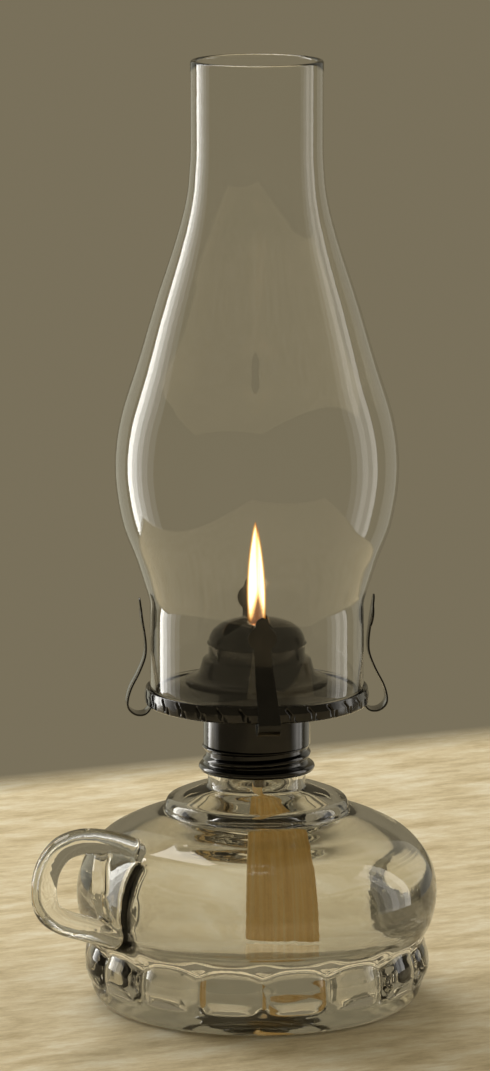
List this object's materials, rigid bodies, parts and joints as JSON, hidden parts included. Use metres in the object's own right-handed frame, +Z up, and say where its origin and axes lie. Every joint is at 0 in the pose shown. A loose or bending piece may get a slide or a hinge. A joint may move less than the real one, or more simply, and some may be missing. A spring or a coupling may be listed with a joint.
{
  "type": "oil lamp",
  "caption": "Clear pressed-glass finger lamp with a lobed foot, looped handle, dark flat-wick burner with spring prongs and a pear-shaped glass chimney.",
  "frame": {"origin": "on the lamp's axis at the height of the table it stands on", "axes": "+Z up the lamp's axis; the wick, its slot and the raiser shaft run along Y with the thumb wheel at +Y; the prongs stand at +X, +Y, -X and -Y; the finger handle points to 217.5 degrees from +X"},
  "size_m": [0.1492, 0.1306, 0.3375],
  "materials": {
    "font_glass": "clear pressed soda glass, softly uneven",
    "chimney_glass": "clear blown glass, fire-polished mouth",
    "gunmetal": "black nickel plate over pressed steel, glossy",
    "plain_steel": "bright drawn wire and stamped wheels",
    "brass": "plain, darkened by heat",
    "wick_cotton": "woven cotton soaked in oil, cream along the dry edge",
    "plaster": "matte set plaster"
  },
  "bodies": {
    "font_base": {"font": "font_glass", "collar": "gunmetal", "collar_cement": "plaster"},
    "burner": {"screw_skirt": "gunmetal", "burner_shell": "gunmetal", "shaft_bush": "brass", "gallery": "gunmetal", "air_diffuser": "gunmetal", "wick_tube": "brass", "ratchet_cover": "gunmetal"},
    "raiser": {"raiser_shaft": "plain_steel", "spiked_wheel_front": "plain_steel", "spiked_wheel_back": "plain_steel", "thumb_wheel": "gunmetal"},
    "wick_strap": {"wick": "wick_cotton"},
    "cone": {"deflector": "gunmetal"},
    "glass": {"chimney_foot": "chimney_glass", "chimney_belly": "chimney_glass", "chimney_shoulder": "chimney_glass", "chimney_throat": "chimney_glass"},
    "prong_right_spring": {"prong_right": "gunmetal"},
    "prong_back_spring": {"prong_back": "gunmetal"},
    "prong_left_spring": {"prong_left": "gunmetal"},
    "prong_front_spring": {"prong_front": "gunmetal"}
  },
  "joints": [
    {"name": "burner_lift", "type": "slide", "parent": "font_base", "child": "burner", "axis": [0, 0, 1], "range_m": [0, 0.065]},
    {"name": "chimney_lift", "type": "slide", "parent": "burner", "child": "glass", "axis": [0, 0, 1], "range_m": [0, 0.06]},
    {"name": "cone_lift", "type": "slide", "parent": "burner", "child": "cone", "axis": [0, 0, 1], "range_m": [0, 0.03]},
    {"name": "raiser_turn", "type": "hinge", "parent": "burner", "child": "raiser", "pos_m": [0.0061, 0, 0.1005], "axis": [0, 1, 0], "range_deg": [-90, 80]},
    {"name": "wick_feed", "type": "slide", "parent": "burner", "child": "wick_strap", "axis": [0, 0, 1], "range_m": [-0.0077, 0.0069]},
    {"name": "prong_right_flex", "type": "hinge", "parent": "burner", "child": "prong_right_spring", "pos_m": [0.0326, 0, 0.11195], "axis": [0, 1, 0], "range_deg": [-1, 6], "stiffness_Nm_per_rad": 0.6},
    {"name": "prong_back_flex", "type": "hinge", "parent": "burner", "child": "prong_back_spring", "pos_m": [0, 0.0326, 0.11195], "axis": [-1, 0, 0], "range_deg": [-1, 6], "stiffness_Nm_per_rad": 0.6},
    {"name": "prong_left_flex", "type": "hinge", "parent": "burner", "child": "prong_left_spring", "pos_m": [-0.0326, 0, 0.11195], "axis": [0, -1, 0], "range_deg": [-1, 6], "stiffness_Nm_per_rad": 0.6},
    {"name": "prong_front_flex", "type": "hinge", "parent": "burner", "child": "prong_front_spring", "pos_m": [0, -0.0326, 0.11195], "axis": [1, 0, 0], "range_deg": [-1, 6], "stiffness_Nm_per_rad": 0.6}
  ],
  "couplings": [
    {"joint": "wick_feed", "follows": "raiser_turn", "m_per_rad": 0.00485}
  ]
}
